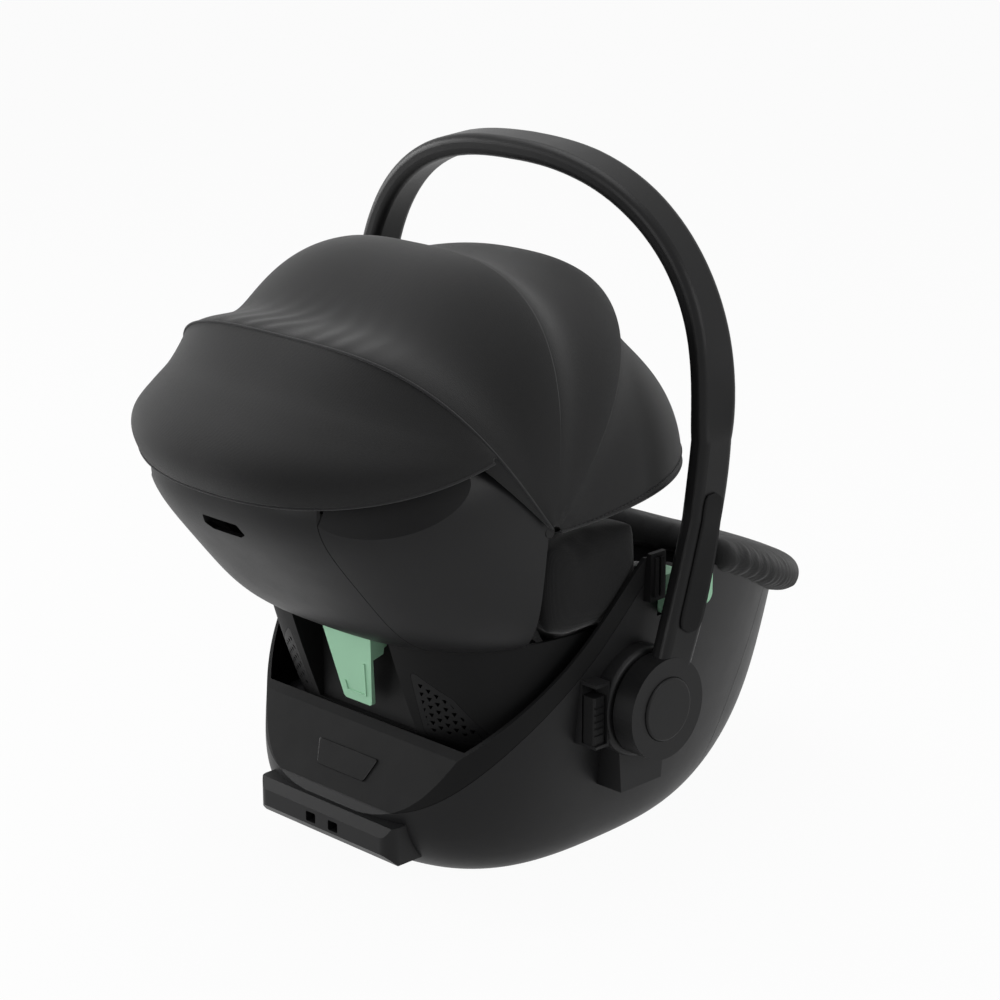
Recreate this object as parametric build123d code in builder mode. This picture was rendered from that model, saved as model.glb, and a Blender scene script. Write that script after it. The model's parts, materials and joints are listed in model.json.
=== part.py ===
from build123d import *
from math import cos, pi, radians, sin, tan
import os

os.makedirs("parts", exist_ok=True)

# Infant car seat. Floor at Z 0, handle pivots above Y 0, head end towards +Y, mirrored about X 0.

# Shell of the lower body, in millimetres: level, half width, reach to the rear and to the front
hub_height = 148.0
wall = 3.0
floor_half_width = 116.0
floor_rear = 128.0
floor_front = 165.0
chine_height = 16.0
chine_half_width = 142.0
chine_rear = 162.0
chine_front = 210.0
belly_height = 55.0
belly_half_width = 155.0
belly_rear = 186.0
belly_front = 260.0
waist_height = 118.0
waist_half_width = 166.0
waist_rear = 178.0
waist_front = 291.0
armrest_level = 200.0
armrest_half_width = 176.0
armrest_rear = 174.0
armrest_front = 312.0
shell_top = 276.0
rim_half_width = 181.0
rim_rear = 170.0
front_reach = 318.0
rear_power = 3.0
front_power = 2.7

# Lines of the side view: sloping stern, rim, armrest and the seams between the shell mouldings
stern_y = 186.0
stern_z = 58.0
rim_rear_y = 152.0
rim_rear_height = 118.0
rim_crest_y = -8.0
rim_crest_height = 270.0
armrest_y = -105.0
armrest_height = 240.0
lip_height = 146.0
lip_rise = 10.0
lip_overhang = 60.0
cover_front_y = -12.0
seam_drop = 24.0
front_seam_top_y = -200.0
front_seam_floor_y = -120.0
front_seam_rise = 170.0
undercut = 5.0
seam_gap = 0.6

# Rear wall with its vents and belt tray
panel_bottom = 100.0
panel_front_y = -10.0
panel_low_half_width = 150.0
panel_half_width = 161.0
panel_low_rear = 134.0
panel_rear = 177.0
panel_half_share = 0.65
panel_rear_share = 0.54
tray_half_width = 64.0
tray_bottom = 121.0
tray_floor_y = 134.0
cut_y = 60.0
hook_top = 211.0
hook_bottom = 138.0
hook_top_half_width = 31.0
hook_bottom_half_width = 17.0
hook_face_rear = 166.0
hook_lean = 14.0
hook_thick = 5.0
hook_stem_half_width = 20.0
hook_stem_height = 22.0
hook_corner = 4.0
hook_lip = 3.0
vent_inner_top = 75.0
vent_inner_bottom = 69.0
vent_outer_bottom = 126.0
vent_outer_top = 106.0
vent_bottom = 124.0
vent_shoulder = 166.0
vent_top = 190.0
vent_hole = 2.9
vent_pitch = 8.0
vent_margin = 5.5
vent_turn = 28.0
vent_corner = 4.0

# Head shell
head_bottom = 214.0
head_top = 340.0
head_low_half_width = 157.0
head_half_width = 180.0
head_low_rear = 186.0
head_rear = 300.0
head_low_middle = 57.0
head_middle = 102.0
head_rim = 385.0
head_rim_half_width = 172.0
head_rim_rear = 280.0
head_power = 2.6
head_front_y = 106.0
head_reach = 20.0
head_seam_x = 102.0
slot_half_width = 21.0
slot_low = 318.0
slot_high = 331.0
slot_corner = 4.0
well_room = 14.0
scoop_x = 149.0
scoop_y = 240.0
scoop_z = 338.0
scoop_radius = 70.0
scoop_turn = 34.0
scoop_rise = 13.0
scoop_tilt = 45.0

# Docking block
dock_half_width = 84.0
dock_rear = 196.0
dock_depth = 46.0
dock_bottom = 24.0
dock_top = 58.0
dock_ledge = 9.0
dock_notch_x = 14.0
dock_notch = 12.0
dock_notch_depth = 11.0
dock_chamfer = 10.0
dock_corner = 12.0

# Hub housing, adapter socket and release slide
housing_radius = 48.0
housing_face = 190.0
pin_radius = 8.0
run_clearance = 0.05
shoe_face = 186.0
shoe_top_half = 31.0
shoe_foot_half = 25.0
shoe_bottom = 72.0
socket_half = 18.0
socket_inner = 172.0
socket_outer = 182.0
socket_top = 118.0
slide_y = 47.0
slide_depth = 13.0
slide_width = 14.0
slide_height = 42.0
slide_travel = 8.0
slide_bottom = 124.0
fit = 0.4

# Handle
bar_half_width = 203.0
arch_half_width = 208.0
leg_height = 220.0
handle_rise = 440.0
handle_lean = 160.0
handle_return = 110.0
lean_height = 400.0
arch_power = 2.46
bar_thick = 24.0
bar_width = 38.0
strip_thick = 5.0
yoke_radius = 44.0
yoke_inner = 193.0
yoke_outer = 214.0
button_radius = 27.5
button_pocket_floor = 200.0
button_inner = 206.0
button_face = 216.0

# Lap belt guides and wing clips
guide_front_y = -88.0
guide_rear_y = -28.0
guide_bottom = 214.0
guide_top = 252.0
guide_wall = 5.0
guide_inner = 150.0
guide_outer = 185.0
guide_tab = 20.0
clip_front_y = -27.4
clip_rear_y = -9.0
clip_bottom = 232.0
clip_top = 274.0
clip_face = 187.0
clip_rib = 4.0

# Seat surfaces
bite_y = -8.0
bite_z = 72.0
recline = 47.3
seat_front_z = 158.0
seat_knee_y = -120.0
seat_knee_z = 88.0
foam_rest_y = 150.0
gap = 0.3
plate_front = -2.2
plate_back = -7.7
plate_half_width = 122.0
plate_length = 330.0
back_pad_thick = 18.0
back_pad_half_width = 118.0
back_pad_start = 28.0
back_pad_end = 345.0
seat_pad_thick = 20.0
seat_pad_half_width = 122.0
seat_pad_front_y = -292.0
liner_inner = 124.5
liner_rear_y = -14.0
liner_front_y = -215.0
wing_mid = 146.0
wing_outer = 171.0
wing_top = 300.0
wing_tip_y = 206.0
wing_tip_z = 334.0
wing_edge = 16.0
wing_knee_y = 96.0
wing_knee_z = 238.0
wing_heel_y = 15.0
wing_heel_z = 114.0
cuff_rear_y = -112.0
cuff_reach = 338.0
cuff_half_width = 184.0
cuff_width = 44.0
cuff_thick = 20.0

# Headrest and harness
headrest_start = 205.0
headrest_height = 100.0
headrest_half_width = 100.0
headrest_thick = 6.0
headrest_pad_thick = 18.0
headrest_wing = 46.0
headrest_wing_width = 24.0
strap_x = 34.0
strap_width = 30.0
strap_thick = 1.8
strap_top = 198.0
strap_bottom = 62.0
shoulder_pad_width = 46.0
shoulder_pad_thick = 9.0
shoulder_pad_length = 82.0
buckle_y = -52.0
buckle_width = 46.0
buckle_height = 50.0
buckle_thick = 20.0
buckle_lean = 58.0
buckle_button_size = 24.0
buckle_button_travel = 3.0
crotch_width = 42.0
crotch_length = 46.0
crotch_thick = 8.0
adjuster_y = -246.0
adjuster_width = 34.0
adjuster_length = 30.0
adjuster_thick = 11.0
adjuster_button_size = 18.0
adjuster_travel = 4.0

# Canopy: bows stand in planes through the pivot axis, at angles from the rear
canopy_y = 105.0
canopy_z = 318.0
canopy_half_width = 185.0
canopy_thick = 2.0
canopy_foot = 14.0
ridge_angle = 51.0
ridge_radius = 193.0
ridge_power = 3.5
mid_angle = 97.0
mid_radius = 206.0
mid_power = 3.0
front_angle = 131.0
front_radius = 233.0
front_power = 2.4
visor_angle = 180.5
visor_radius = 276.0
visor_power = 2.2
panel_dip = 12.0

# Rear skirt of the canopy: a fan of arches about a line on the ridge
skirt_seat = 92.0
skirt_power = 2.5
skirt_foot = 4.0
hem_angle = -13.0
hem_radius = 149.0
brim_angle = 1.0
brim_radius = 156.0

# Bows and pins
bow_thick = 3.5
bow_width = 8.0
bow_gap = 1.0
visor_slack = 2.6
ridge_slack = 0.9
rear_slack = 1.5
bow_first_half_width = 160.0
eye_radius = 9.0
canopy_pin_radius = 5.0
canopy_pin_inner = 151.0

back_plane = Plane(
    origin=(0, bite_y, bite_z),
    x_dir=(1, 0, 0),
    z_dir=(0, -sin(radians(recline)), cos(radians(recline))),
)
side = 260.0
high = 520.0
panel_top = head_bottom - gap
foam_rest_z = panel_bottom - gap
wing_front_y = liner_rear_y + gap


def write(name, solid):
    solid.label = name
    export_step(solid, f"parts/{name}.step")


# Closed horizontal outline: a superellipse with its own reach to the rear and to the front
def egg(half_width, rear, front, middle, power_rear, power_front):
    points = []
    count = 20
    for k in range(count):
        turn = 2 * pi * k / count
        c = cos(turn)
        s = sin(turn)
        power = power_rear if s >= 0 else power_front
        reach = rear - middle if s >= 0 else middle + front
        x = half_width * abs(c) ** (2 / power) * (1 if c >= 0 else -1)
        y = middle + reach * abs(s) ** (2 / power) * (1 if s >= 0 else -1)
        points.append((x, y))
    return points


# Loft through rows of level, half width, rear, front and middle
def tub(rows, power_rear, power_front):
    with BuildPart() as body:
        for level, half_width, rear, front, middle in rows:
            with BuildSketch(Plane.XY.offset(level)):
                with BuildLine():
                    Spline(*egg(half_width, rear, front, middle, power_rear, power_front), periodic=True)
                make_face()
        loft()
    return body.part


# Flat side view outline, drawn out across the seat
def prism(points, near, far):
    with BuildPart() as body:
        with BuildSketch(Plane.YZ.offset(near)):
            with BuildLine():
                Polyline(*points, close=True)
            make_face()
        extrude(amount=far - near)
    return body.part


def block(x0, x1, y0, y1, z0, z1):
    with BuildPart() as body:
        with BuildSketch(Plane.XY.offset(z0)):
            with Locations(((x0 + x1) / 2, (y0 + y1) / 2)):
                Rectangle(x1 - x0, y1 - y0)
        extrude(amount=z1 - z0)
    return body.part


# Round bar along X, centred on a point of the side view
def rod(y, z, radius, near, far):
    with BuildPart() as body:
        with BuildSketch(Plane.YZ.offset(near)):
            with Locations((y, z)):
                Circle(radius)
        extrude(amount=far - near)
    return body.part


def write_pair(name, left_solid):
    right_solid = mirror(left_solid, about=Plane.YZ, mode=Mode.PRIVATE)
    write(f"{name}_left", left_solid)
    write(f"{name}_right", right_solid)


# Both hands of a piece, each cut to the body of the shell
def write_fitted_pair(name, left_solid, hull, fitting):
    right_solid = mirror(left_solid, about=Plane.YZ, mode=Mode.PRIVATE)
    for label, solid in ((f"{name}_left", left_solid), (f"{name}_right", right_solid)):
        with BuildPart() as fitted:
            add(solid)
            add(hull, mode=fitting)
        write(label, fitted.part)


rim_slope = (rim_crest_height - rim_rear_height) / (rim_rear_y - rim_crest_y)
stern_slope = (rim_rear_height - stern_z) / (stern_y - rim_rear_y)


def rim_line(y):
    return rim_rear_height + rim_slope * (rim_rear_y - y)


# Solid of the lower body, drawn in by inset all round; the stern slopes forward above the belly
def body_solid(inset, base, lift):
    rows = (
        (base, floor_half_width - inset, floor_rear - inset, floor_front - inset, 0),
        (chine_height, chine_half_width - inset, chine_rear - inset, chine_front - inset, 0),
        (belly_height, belly_half_width - inset, belly_rear - inset, belly_front - inset, 0),
        (waist_height, waist_half_width - inset, waist_rear - inset, waist_front - inset, 0),
        (armrest_level, armrest_half_width - inset, armrest_rear - inset, armrest_front - inset, 0),
        (shell_top + lift, rim_half_width - inset, rim_rear - inset, front_reach - inset, 0),
    )
    stern_low = (stern_y + stern_z / stern_slope - inset, 0)
    stern_high = (stern_y - (high - stern_z) / stern_slope - inset, high)
    behind = prism([stern_low, (high, 0), (high, high), stern_high], -side, side)
    with BuildPart() as body:
        add(tub(rows, rear_power, front_power))
        add(behind, mode=Mode.SUBTRACT)
    return body.part


# Space above the rim, raised by lift; the armrest falls towards the front lip
def above_rim(lift):
    with BuildPart() as body:
        with BuildSketch(Plane.YZ.offset(-side)):
            with BuildLine():
                Line((side, rim_line(side) + lift), (rim_crest_y, rim_crest_height + lift))
                Spline(
                    (rim_crest_y, rim_crest_height + lift),
                    (armrest_y, armrest_height + lift),
                    (-front_reach, lip_height + lip_rise + lift),
                    (-front_reach - lip_overhang, lip_height + lift),
                )
                Polyline(
                    (-front_reach - lip_overhang, lip_height + lift),
                    (-front_reach - lip_overhang, high),
                    (side, high),
                    (side, rim_line(side) + lift),
                )
            make_face()
        extrude(amount=2 * side)
    return body.part


outer = body_solid(0, 0, 0)
inner = body_solid(wall, wall, undercut)
lining = body_solid(wall + gap, wall + gap, undercut)


# Region of the rim cover and region of the front moulding, in side view
def cover_region(shift):
    front = cover_front_y + shift
    low = rim_line(side) - seam_drop + shift
    crest = rim_line(front) - seam_drop + shift
    return prism([(side, low), (front, crest), (front, high), (side, high)], -side, side)


front_lean = (front_seam_top_y - front_seam_floor_y) / front_seam_rise


def front_region(shift):
    low = (front_seam_floor_y - shift - undercut * front_lean, -undercut)
    top = (front_seam_floor_y - shift + high * front_lean, high)
    return prism([low, (-high, -undercut), (-high, high), top], -side, side)


guide_notch = block(
    -side, side, guide_front_y - fit, guide_rear_y + fit, guide_bottom - fit, high
)
pin_bore = rod(0, hub_height, pin_radius + run_clearance, -side, side)

with BuildPart() as shell:
    add(outer)
    add(inner, mode=Mode.SUBTRACT)
    add(above_rim(0), mode=Mode.SUBTRACT)

with BuildPart() as lower_shell:
    add(shell.part)
    add(cover_region(-seam_gap), mode=Mode.SUBTRACT)
    add(front_region(0), mode=Mode.SUBTRACT)
    add(guide_notch, mode=Mode.SUBTRACT)
    add(pin_bore, mode=Mode.SUBTRACT)
write("lower_shell", lower_shell.part)

with BuildPart() as front_shell:
    add(shell.part)
    add(front_region(seam_gap), mode=Mode.INTERSECT)
write("front_shell", front_shell.part)

with BuildPart() as rim_cover:
    add(shell.part)
    add(cover_region(0), mode=Mode.INTERSECT)
write("rim_cover", rim_cover.part)

# Rear wall of the seat: leans back a little and narrows towards the floor
def panel_solid(inset, lift):
    half_mid = panel_low_half_width + panel_half_share * (panel_half_width - panel_low_half_width)
    rear_mid = panel_low_rear + panel_rear_share * (panel_rear - panel_low_rear)
    middle_z = (panel_bottom + panel_top) / 2
    rows = (
        (panel_bottom - lift, panel_low_half_width - inset, panel_low_rear - inset, side - inset, 0),
        (middle_z, half_mid - inset, rear_mid - inset, side - inset, 0),
        (panel_top + lift, panel_half_width - inset, panel_rear - inset, side - inset, 0),
    )
    return tub(rows, rear_power, front_power)


panel_outer = panel_solid(0, 0)
panel_inner = panel_solid(wall, 2)
ahead_of_panel = block(-side, side, -high, panel_front_y, 0, high)
tray_top = hook_top + 2
tray_window = block(
    -tray_half_width + wall, tray_half_width - wall, cut_y, side, tray_bottom + wall, tray_top - wall
)


# Vent outline on the rear wall, seen from behind, drawn in by margin
def vent_outline(margin):
    with BuildPart() as body:
        with BuildSketch(Plane.XZ.offset(-cut_y)) as outline:
            with BuildLine():
                Polyline(
                    (vent_inner_top, vent_top),
                    (vent_inner_bottom, vent_bottom),
                    (vent_outer_bottom, vent_bottom),
                    (vent_outer_top, vent_shoulder),
                    close=True,
                )
            make_face()
            fillet(outline.vertices(), vent_corner)
            offset(amount=-margin, mode=Mode.REPLACE)
        extrude(amount=-side)
    return body.part


vent_window = vent_outline(0)
mirrored_vent_window = mirror(vent_window, about=Plane.YZ)

with BuildPart() as back_panel:
    add(panel_outer)
    add(panel_inner, mode=Mode.SUBTRACT)
    add(ahead_of_panel, mode=Mode.SUBTRACT)
    add(tray_window, mode=Mode.SUBTRACT)
    add(vent_window, mode=Mode.SUBTRACT)
    add(mirrored_vent_window, mode=Mode.SUBTRACT)
write("back_panel", back_panel.part)

# Perforated vent: staggered three-sided holes, square to the curve of the wall
vent_plane = Plane(
    origin=((vent_inner_top + vent_outer_bottom) / 2, panel_low_rear, (vent_top + vent_bottom) / 2),
    x_dir=(cos(radians(vent_turn)), -sin(radians(vent_turn)), 0),
    z_dir=(sin(radians(vent_turn)), cos(radians(vent_turn)), 0),
)
with BuildPart() as vent_holes:
    with BuildSketch(vent_plane):
        with HexLocations(vent_pitch / 2, 9, 11):
            RegularPolygon(vent_hole, 3, rotation=90)
    extrude(amount=vent_bottom / 2, both=True)
    add(vent_outline(vent_margin), mode=Mode.INTERSECT)

with BuildPart() as vent_grille:
    add(panel_outer)
    add(panel_inner, mode=Mode.SUBTRACT)
    add(vent_outline(gap), mode=Mode.INTERSECT)
    add(vent_holes.part, mode=Mode.SUBTRACT)
write_pair("vent_grille", vent_grille.part)

# Belt tray behind the window in the rear wall
with BuildPart() as belt_tray:
    add(block(-tray_half_width, tray_half_width, tray_floor_y, side, tray_bottom, tray_top))
    add(
        block(
            -tray_half_width + wall,
            tray_half_width - wall,
            tray_floor_y + wall,
            side,
            tray_bottom + wall,
            tray_top - wall,
        ),
        mode=Mode.SUBTRACT,
    )
    add(panel_inner, mode=Mode.INTERSECT)
write("belt_tray", belt_tray.part)

# Shoulder belt hook: a tapered plate that leans with the wall, on a stem at its top
hook_low_rear = hook_face_rear - hook_lean
hook_root = tray_floor_y + wall
with BuildPart() as shoulder_belt_hook:
    with BuildSketch(Plane.XZ.offset(-hook_root)) as hook_front:
        with BuildLine():
            Polyline(
                (hook_top_half_width, hook_top - wall - gap),
                (hook_bottom_half_width, hook_bottom),
                (-hook_bottom_half_width, hook_bottom),
                (-hook_top_half_width, hook_top - wall - gap),
                close=True,
            )
        make_face()
        fillet(hook_front.vertices(), hook_corner)
    extrude(amount=-side)
    add(
        prism(
            [
                (hook_face_rear, hook_top),
                (hook_low_rear, hook_bottom),
                (hook_low_rear + hook_lip, hook_bottom - hook_lip),
                (hook_low_rear - hook_thick, hook_bottom - hook_lip),
                (hook_face_rear - hook_thick - hook_lip, hook_top - hook_stem_height - 2 * hook_lip),
                (hook_root, hook_top - hook_stem_height),
                (hook_root, hook_top),
            ],
            -side,
            side,
        ),
        mode=Mode.INTERSECT,
    )
    for x in (hook_stem_half_width, -side):
        add(
            block(x, x + side - hook_stem_half_width, 0, hook_low_rear - hook_thick, 0, high),
            mode=Mode.SUBTRACT,
        )
write("shoulder_belt_hook", shoulder_belt_hook.part)


# Bowl behind the head, flaring up and back
def head_solid(inset, base, lift):
    rows = []
    for share in (0, 0.18, 0.45, 1):
        z = head_bottom + (head_top - head_bottom) * share
        level = base if share == 0 else z + lift * share
        half_width = head_low_half_width + (head_half_width - head_low_half_width) * share ** 0.45
        rear = head_low_rear + (head_rear - head_low_rear) * share ** 0.72
        middle = head_low_middle + (head_middle - head_low_middle) * share
        rows.append((level, half_width - inset, rear - inset, -head_reach - inset, middle))
    rim_row = (head_rim + lift, head_rim_half_width - inset, head_rim_rear - inset)
    rows.append(rim_row + (-head_reach - inset, head_middle))
    return tub(rows, head_power, head_power)


# Hollow in the side of the bowl, under the canopy: a slanting round cut
def head_scoop(radius):
    outward = (sin(radians(90 - scoop_turn)), cos(radians(90 - scoop_turn)))
    sideways = cos(radians(scoop_tilt)) * scoop_radius
    along = Vector(outward[1], -outward[0], tan(radians(scoop_rise)))
    centre = Vector(
        scoop_x + outward[0] * sideways,
        scoop_y + outward[1] * sideways,
        scoop_z + sin(radians(scoop_tilt)) * scoop_radius,
    )
    with BuildPart() as body:
        with BuildSketch(Plane(origin=centre, z_dir=along)):
            Circle(radius)
        extrude(amount=side / 2, both=True)
    return body.part


head_outer = head_solid(0, head_bottom, 0)
head_inner = head_solid(wall, head_bottom + wall, 5)
ahead_of_head = block(-side, side, -high, head_front_y, 0, high)
well_half_width = plate_half_width + 2
well_rear = (bite_y + (head_bottom + 2 * wall - bite_z) / tan(radians(recline))) + well_room
head_well = block(-well_half_width, well_half_width, -high, well_rear, 0, head_bottom + 2 * wall)
canopy_bore = rod(canopy_y, canopy_z, canopy_pin_radius, -side, side)

with BuildPart() as headrest_slot:
    with BuildSketch(Plane.XZ.offset(-head_low_rear)) as slot_outline:
        with BuildLine():
            Polyline(
                (-slot_half_width, slot_high),
                (slot_half_width, slot_high),
                (slot_half_width + slot_corner, slot_low + slot_corner),
                (slot_half_width - slot_corner, slot_low),
                (-slot_half_width + slot_corner, slot_low),
                (-slot_half_width - slot_corner, slot_low + slot_corner),
                close=True,
            )
        make_face()
        fillet(slot_outline.vertices(), slot_corner / 2)
    extrude(amount=-side)

with BuildPart() as head_shell:
    add(head_outer)
    add(head_inner, mode=Mode.SUBTRACT)
    add(ahead_of_head, mode=Mode.SUBTRACT)
    add(head_well, mode=Mode.SUBTRACT)
    add(canopy_bore, mode=Mode.SUBTRACT)

with BuildPart() as head_shell_center:
    add(head_shell.part)
    add(block(-head_seam_x, head_seam_x, 0, high, 0, high), mode=Mode.INTERSECT)
    add(headrest_slot.part, mode=Mode.SUBTRACT)
write("head_shell_center", head_shell_center.part)

hollow = head_scoop(scoop_radius)
with BuildPart() as hollow_lining:
    add(head_inner)
    add(head_scoop(scoop_radius + wall), mode=Mode.SUBTRACT)

with BuildPart() as head_shell_side:
    add(head_outer)
    add(hollow, mode=Mode.SUBTRACT)
    add(hollow_lining.part, mode=Mode.SUBTRACT)
    add(ahead_of_head, mode=Mode.SUBTRACT)
    add(head_well, mode=Mode.SUBTRACT)
    add(canopy_bore, mode=Mode.SUBTRACT)
    add(block(head_seam_x + seam_gap, side, 0, high, 0, high), mode=Mode.INTERSECT)
write_pair("head_shell", head_shell_side.part)

# Docking block with two latch notches
with BuildPart() as dock_block:
    with BuildSketch(Plane.YZ.offset(-dock_half_width)) as dock_side:
        with BuildLine():
            Polyline(
                (dock_rear - dock_depth, dock_bottom),
                (dock_rear - dock_chamfer, dock_bottom),
                (dock_rear, dock_bottom + dock_chamfer),
                (dock_rear, dock_top - dock_ledge),
                (dock_rear - dock_chamfer / 2, dock_top),
                (dock_rear - dock_depth, dock_top),
                close=True,
            )
        make_face()
    extrude(amount=2 * dock_half_width)
    fillet(dock_block.edges().filter_by(Axis.Z).sort_by(Axis.Y)[-2:], dock_corner)
    with BuildSketch(Plane.XZ.offset(-dock_rear)):
        with Locations(
            (-dock_notch_x, (dock_bottom + dock_top) / 2), (dock_notch_x, (dock_bottom + dock_top) / 2)
        ):
            RectangleRounded(dock_notch, dock_notch * 0.75, 1.5)
    extrude(amount=dock_notch_depth, mode=Mode.SUBTRACT)
    add(outer, mode=Mode.SUBTRACT)
write("dock_block", dock_block.part)

# Hub housing: round boss on the shell, with the adapter socket below and the slide bay behind
slide_outer = housing_face - 3
slide_bay_top = slide_bottom + slide_height + slide_travel + 2 * fit
with BuildPart() as hub_housing:
    add(rod(0, hub_height, housing_radius, floor_half_width, housing_face))
    fillet(hub_housing.faces().sort_by(Axis.X)[-1].edges(), 4)
    add(
        prism(
            [
                (-shoe_top_half, hub_height),
                (shoe_top_half, hub_height),
                (shoe_foot_half, shoe_bottom),
                (-shoe_foot_half, shoe_bottom),
            ],
            floor_half_width,
            shoe_face,
        )
    )
    add(
        block(
            floor_half_width,
            slide_outer + 2,
            slide_y - wall,
            slide_y + slide_depth,
            slide_bottom - wall,
            slide_bay_top + wall,
        )
    )
    add(
        block(
            slide_outer - slide_width,
            side,
            slide_y - fit,
            side,
            slide_bottom - fit,
            slide_bay_top,
        ),
        mode=Mode.SUBTRACT,
    )
    add(
        block(socket_inner, socket_outer, -socket_half, socket_half, 0, socket_top),
        mode=Mode.SUBTRACT,
    )
    add(pin_bore, mode=Mode.SUBTRACT)
write_fitted_pair("hub_housing", hub_housing.part, outer, Mode.SUBTRACT)

# Release slide with grip ribs on its outer face
with BuildPart() as adapter_slide:
    with BuildSketch(Plane.XY.offset(slide_bottom)):
        with Locations((slide_outer - slide_width / 2 + fit / 2, slide_y + slide_depth / 2)):
            RectangleRounded(slide_width - fit, slide_depth, 2)
    extrude(amount=slide_height)
    with BuildSketch(Plane.YZ.offset(slide_outer + fit)):
        with Locations((slide_y + slide_depth / 2, slide_bottom + slide_height / 2)):
            with GridLocations(1, 6, 1, 5):
                Rectangle(slide_depth + 4, 2)
    extrude(amount=-1.2, mode=Mode.SUBTRACT)
write_pair("adapter_slide", adapter_slide.part)

# Handle pivot pins, with heads inside the shell
pin_head = armrest_half_width - 14
with BuildPart() as handle_pins:
    add(rod(0, hub_height, pin_radius, pin_head, button_pocket_floor))
    add(rod(0, hub_height, pin_radius, -button_pocket_floor, -pin_head))
write("handle_pins", handle_pins.part)

# Lap belt guides: open hooks in the armrest, with a tab over the mouth
guide_lip = guide_front_y + guide_wall
with BuildPart() as lap_guide:
    with BuildSketch(Plane.YZ.offset(guide_inner)) as guide_outline:
        with BuildLine():
            Polyline(
                (guide_front_y, guide_top - 4),
                (guide_front_y, guide_bottom),
                (guide_rear_y, guide_bottom),
                (guide_rear_y, guide_top),
                (guide_rear_y - guide_tab, guide_top),
                (guide_rear_y - guide_tab, guide_top - guide_wall),
                (guide_rear_y - guide_wall, guide_top - guide_wall),
                (guide_rear_y - guide_wall, guide_bottom + guide_wall),
                (guide_lip, guide_bottom + guide_wall),
                (guide_lip, guide_top - 4),
                close=True,
            )
        make_face()
        fillet(guide_outline.vertices().group_by(Axis.Y)[1], guide_wall - 1)
        fillet(guide_outline.vertices().group_by(Axis.Y)[0], 2 * guide_wall - 1)
    extrude(amount=guide_outer - guide_inner)
write_pair("lap_guide", lap_guide.part)

# Ribbed clips on the outside of the shell, below the wings
with BuildPart() as wing_clip:
    add(block(rim_half_width - 25, clip_face - 2, clip_front_y, clip_rear_y, clip_bottom, clip_top))
    for y in (clip_front_y + clip_rib, clip_rear_y - 2 * clip_rib):
        add(block(clip_face - 4, clip_face, y, y + clip_rib, clip_bottom + clip_rib, clip_top - clip_rib))
write_fitted_pair("wing_clip", wing_clip.part, outer, Mode.SUBTRACT)


# Handle centreline: straight legs, then a superellipse arch, leaning forward and returning
def handle_point(share):
    if share < 1:
        v = leg_height * share
        x = bar_half_width + (arch_half_width - bar_half_width) * sin(share * pi / 2)
    else:
        turn = (share - 1) * pi / 2
        v = leg_height + (handle_rise - leg_height) * sin(turn) ** (2 / arch_power)
        x = arch_half_width * max(cos(turn), 0.0) ** (2 / arch_power)
    lean = v / lean_height
    return (x, -handle_lean * lean + handle_return * lean * lean, hub_height + v)


handle_shares = (0.0, 0.35, 0.7, 1.0, 1.22, 1.42, 1.62, 1.82)
near_points = [handle_point(share) for share in handle_shares]
crown_point = handle_point(2)
far_points = [(-x, y, z) for x, y, z in reversed(near_points)]
with BuildLine() as handle_path:
    Spline(*near_points, crown_point, *far_points)
handle_foot = Plane(origin=handle_path.line @ 0, x_dir=(1, 0, 0), z_dir=handle_path.line % 0)

yoke_disc = rod(0, hub_height, yoke_radius, yoke_inner, yoke_outer)
far_yoke_disc = mirror(yoke_disc, about=Plane.YZ)
with BuildPart() as handle_bar:
    with BuildSketch(handle_foot):
        RectangleRounded(bar_thick - strip_thick, bar_width, 7)
    sweep(path=handle_path.line)
    add(yoke_disc)
    add(far_yoke_disc)
    add(
        block(-yoke_inner, yoke_inner, -yoke_radius, yoke_radius, 0, hub_height + yoke_radius),
        mode=Mode.SUBTRACT,
    )
    add(rod(0, hub_height, button_radius + fit, button_pocket_floor, side), mode=Mode.SUBTRACT)
    add(rod(0, hub_height, button_radius + fit, -side, -button_pocket_floor), mode=Mode.SUBTRACT)
    add(pin_bore, mode=Mode.SUBTRACT)
write("handle_bar", handle_bar.part)

with BuildPart() as handle_button:
    add(rod(0, hub_height, button_radius, button_inner, button_face))
    fillet(handle_button.faces().sort_by(Axis.X)[-1].edges(), 2)
write_pair("handle_button", handle_button.part)

# Space under the seat surface, kept for foam; the back plate lies along its rear slope
plate_dir = (cos(radians(recline)), sin(radians(recline)))
plate_normal = (-plate_dir[1], plate_dir[0])
foam_back = plate_back - gap


def on_back(along, out):
    return (
        bite_y + plate_dir[0] * along + plate_normal[0] * out,
        bite_z + plate_dir[1] * along + plate_normal[1] * out,
    )


foam_bite = on_back(0, foam_back)
foam_rest = on_back((foam_rest_z - foam_bite[1]) / plate_dir[1], foam_back)


# Top line of the foam, raised by lift
def seat_line(lift):
    return [
        (-front_reach - 20, seat_front_z + lift),
        (seat_knee_y, seat_knee_z + lift),
        (foam_bite[0] - 12, foam_bite[1] + lift),
    ]


with BuildPart() as foam_tub:
    add(
        prism(
            seat_line(0) + [foam_bite, foam_rest, (foam_rest_y, foam_rest_z), (side, 0), (-high, 0)],
            -side,
            side,
        )
    )
    add(lining, mode=Mode.INTERSECT)
    add(pin_bore, mode=Mode.SUBTRACT)
write("foam_tub", foam_tub.part)

with BuildPart() as seat_back:
    with BuildSketch(back_plane.offset(plate_back)):
        with Locations((0, plate_length / 2 + 4)):
            RectangleRounded(2 * plate_half_width, plate_length, 30)
    extrude(amount=plate_front - plate_back)
write("seat_back", seat_back.part)

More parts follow.
